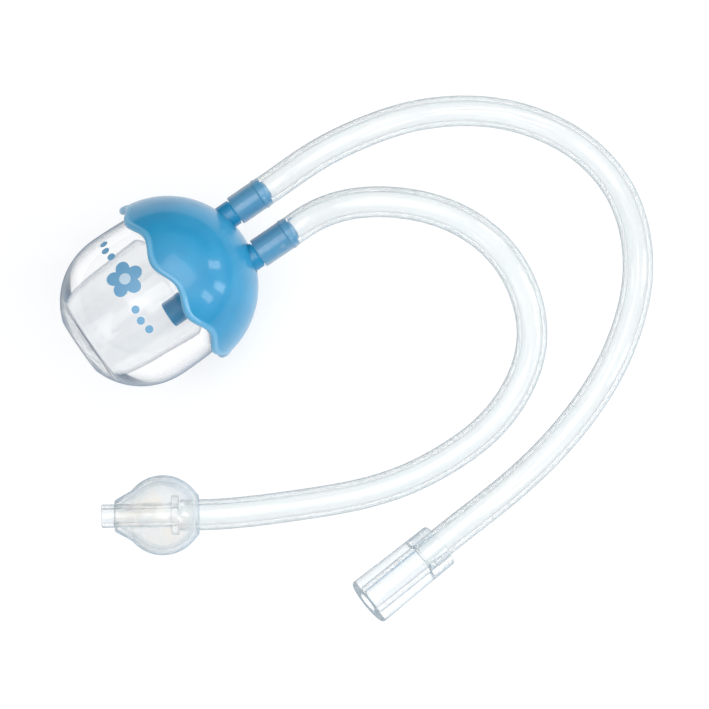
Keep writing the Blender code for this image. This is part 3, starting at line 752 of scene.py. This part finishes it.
def bulbSeam(angle, radius, height):
    # the mould's parting line: a low ridge on each side, on the outside only
    s = bulbSet
    if math.hypot(radius, height) <= s["radius"] - 0.4 * s["wall"]:
        return radius
    off = min(abs((angle - side + math.pi) % math.tau - math.pi) for side in (0.0, math.pi))
    return radius + s["seam"] * max(0.0, 1 - off / s["seamWide"])


def makeCore():
    s = coreSet
    corners = [(s["bore"], s["flangeLow"], 0.2 * mm), (s["flangeR"], s["flangeLow"], 0.3 * mm),
               (s["flangeR"], s["flangeHigh"], 0.3 * mm), (s["outer"], s["flangeHigh"], 0.3 * mm),
               (s["outer"], s["tip"], 0.45 * mm), (s["bore"], s["tip"], 0.35 * mm)]
    piece = turned("noseCore", filleted(corners, True), coreFinish, "nose_tip", bulbFrame(), 80,
                   looped=True)
    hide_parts("nose_core")
    return piece


printSet = {"lift": 0.02 * mm, "thick": 0.06 * mm, "flowerAt": (175.0, 20.4 * mm), "petal": 4.9 * mm,
            "petals": 5, "heart": 1.5 * mm, "dotsAt": ((144.5, 20.0 * mm), (206.0, 17.8 * mm)),
            "dot": 1.05 * mm, "dotStep": 3.1 * mm, "dotRise": 0.5 * mm, "sides": 96, "rows": 7,
            "petalDip": 0.38, "petalPower": 0.8, "gap": 0.01 * mm}


def printShape(name, finish, angle, height, reach, layer=0):
    # a flat shape wrapped on the jar: reach(turn) is its radius in each direction
    s = printSet
    sides, rows = s["sides"], s["rows"]
    lift = s["lift"] + layer * (s["thick"] + s["gap"])

    def place(turn, share, depth):
        across = reach(turn) * share * math.sin(turn)
        up = reach(turn) * share * math.cos(turn)
        radius = jarRadius(height + up)
        theta = math.radians(angle) + across / radius
        stand = radius + lift + s["thick"] * depth
        return jarFrame @ Vector((stand * math.cos(theta), stand * math.sin(theta), height + up))

    turns = [math.tau * i / sides for i in range(sides)]
    rings = [[place(0, 0, 1)]]
    rings += [[place(t, r / rows, 1) for t in turns] for r in range(1, rows + 1)]
    rings += [[place(t, r / rows, 0) for t in turns] for r in range(rows, 0, -1)]
    rings.append([place(0, 0, 0)])
    bm = bmesh.new()
    skinRings(bm, rings)
    return addPiece(name, bm, finish, "jar")


def makePrint():
    # a plain flower with three dots on each side of it
    s = printSet

    def flower(turn):
        crest = abs(math.cos(s["petals"] * turn / 2)) ** s["petalPower"]
        return s["petal"] * (1 - s["petalDip"] + s["petalDip"] * crest)

    def heart(turn):
        return s["heart"]

    def dot(turn):
        return s["dot"]

    printShape("printFlower", printFinish, *s["flowerAt"], flower)
    printShape("printHeart", paleFinish, *s["flowerAt"], heart, 1)
    for group, (angle, height) in enumerate(s["dotsAt"]):
        for i in (-1, 0, 1):
            turn = angle + math.degrees(i * s["dotStep"] / jarSet["bellyR"])
            printShape(f"printDot{group}{i + 1}", printFinish, turn, height + s["dotRise"] * i * i, dot)


mouthTube, mouthLine = makeTube("mouthTube", "mouth_tube", 1, portSet["mouthCollar"] + portSet["gap"],
                                mouthRoute, "mouth_line")
noseTube, noseLine = makeTube("noseTube", "nose_tube", -1, portSet["noseCollar"] + portSet["gap"],
                              noseRoute, "nose_line")
mouthEnd = makeMouthpiece()
bulb = makeBulb()
core = makeCore()
print("tubes are laid")
makeJar()
makeGasket()
makeLid()
makePrint()
makeDome()
makePort("mouthConnector", "mouth_port", 1, portSet["flangeLow"], portSet["mouthCollar"])
makePort("noseConnector", "nose_port", -1, portSet["dropEnd"], portSet["noseCollar"])
print("jar, lid, dome and ports are made")


studio = {"floor": (0.42, 0.418, 0.416), "glow": 0.60, "half": 3.0, "brightWay": (0.21, -0.97, 0.0),
          "sideLow": 0.45, "sideHigh": 1.35,
          "sky": ((0.0, (0.04, 0.08, 0.12)), (0.10, (0.13, 0.19, 0.25)), (0.22, (0.44, 0.51, 0.57)),
                  (0.33, (0.42, 0.50, 0.56)), (0.45, (0.12, 0.19, 0.26)), (0.57, (0.38, 0.46, 0.53)),
                  (0.73, (0.90, 0.90, 0.90)), (1.0, (0.94, 0.93, 0.92)))}
lampSet = {"overheadAt": (0.06, -0.14, 0.75), "overheadAim": (0.03, -0.03, 0), "overhead": (0.6, 2.2),
           "glintWays": ((0.851, -0.250, 0.461), (0.721, -0.610, 0.323), (0.452, -0.746, 0.489)),
           "glintAway": 0.8, "glint": (0.12, 0.5, 0.22)}


def addStage():
    finish = Finish("paleFloor", "dome_plastic")
    finish.opaque({"Base Color": (*studio["floor"], 1), "Roughness": 0.6,
                   "Emission Color": (1, 0.998, 0.995, 1), "Emission Strength": studio["glow"]})
    half = studio["half"]
    mesh = bpy.data.meshes.new("floor")
    corners = [(-half, -half, 0), (half, -half, 0), (half, half, 0), (-half, half, 0)]
    mesh.from_pydata(corners, [], [(0, 1, 2, 3)])
    mesh.materials.append(finish.material)
    floor = bpy.data.objects.new("floor", mesh)
    bpy.context.scene.collection.objects.link(floor)


def addWorld():
    # a pale sky with darker bands near the horizon, which give clear pieces their edges
    world = bpy.data.worlds.new("studio")
    bpy.context.scene.world = world
    sky = Graph(world)
    way = sky.node("ShaderNodeTexCoord", out="Generated")
    height = sky.node("ShaderNodeSeparateXYZ", {}, {0: way}, "Z")
    colour = sky.node("ShaderNodeValToRGB", {"stops": studio["sky"]}, {0: height})
    side = sky.node("ShaderNodeVectorMath", {"operation": "DOT_PRODUCT"},
                    {0: way, 1: studio["brightWay"]}, "Value")
    level = sky.node("ShaderNodeMapRange", {}, {"Value": side, "From Min": -1, "From Max": 1,
                                                "To Min": studio["sideLow"], "To Max": studio["sideHigh"]})
    lit = sky.node("ShaderNodeVectorMath", {"operation": "SCALE"}, {0: colour, "Scale": level})
    glow = sky.node("ShaderNodeBackground", {}, {"Color": lit})
    sky.node("ShaderNodeOutputWorld", {}, {"Surface": glow})


def addLamp(name, place, aim, size, power, tall=None):
    data = bpy.data.lights.new(name, "AREA")
    data.size = size
    if tall:
        data.shape = "RECTANGLE"
        data.size_y = tall
    data.energy = power
    lamp = bpy.data.objects.new(name, data)
    lamp.location = place
    lamp.visible_camera = False
    lamp.rotation_euler = (Vector(place) - Vector(aim)).to_track_quat("Z", "Y").to_euler()
    bpy.context.scene.collection.objects.link(lamp)


addStage()
addWorld()
domeCentre = jarFrame @ Vector((0, 0, domeSet["centreAt"]))
addLamp("overhead", lampSet["overheadAt"], lampSet["overheadAim"], *lampSet["overhead"])
for index, way in enumerate(lampSet["glintWays"]):
    # three small softboxes that show as the soft glints on the dome
    away = domeCentre + Vector(way) * lampSet["glintAway"]
    addLamp(f"glint{index}", away, domeCentre, *lampSet["glint"])
bpy.context.scene.view_settings.view_transform = "Standard"
bpy.context.scene.cycles.max_bounces = 24
bpy.context.scene.cycles.transmission_bounces = 24
bpy.context.scene.cycles.transparent_max_bounces = 24
print("stage is lit")
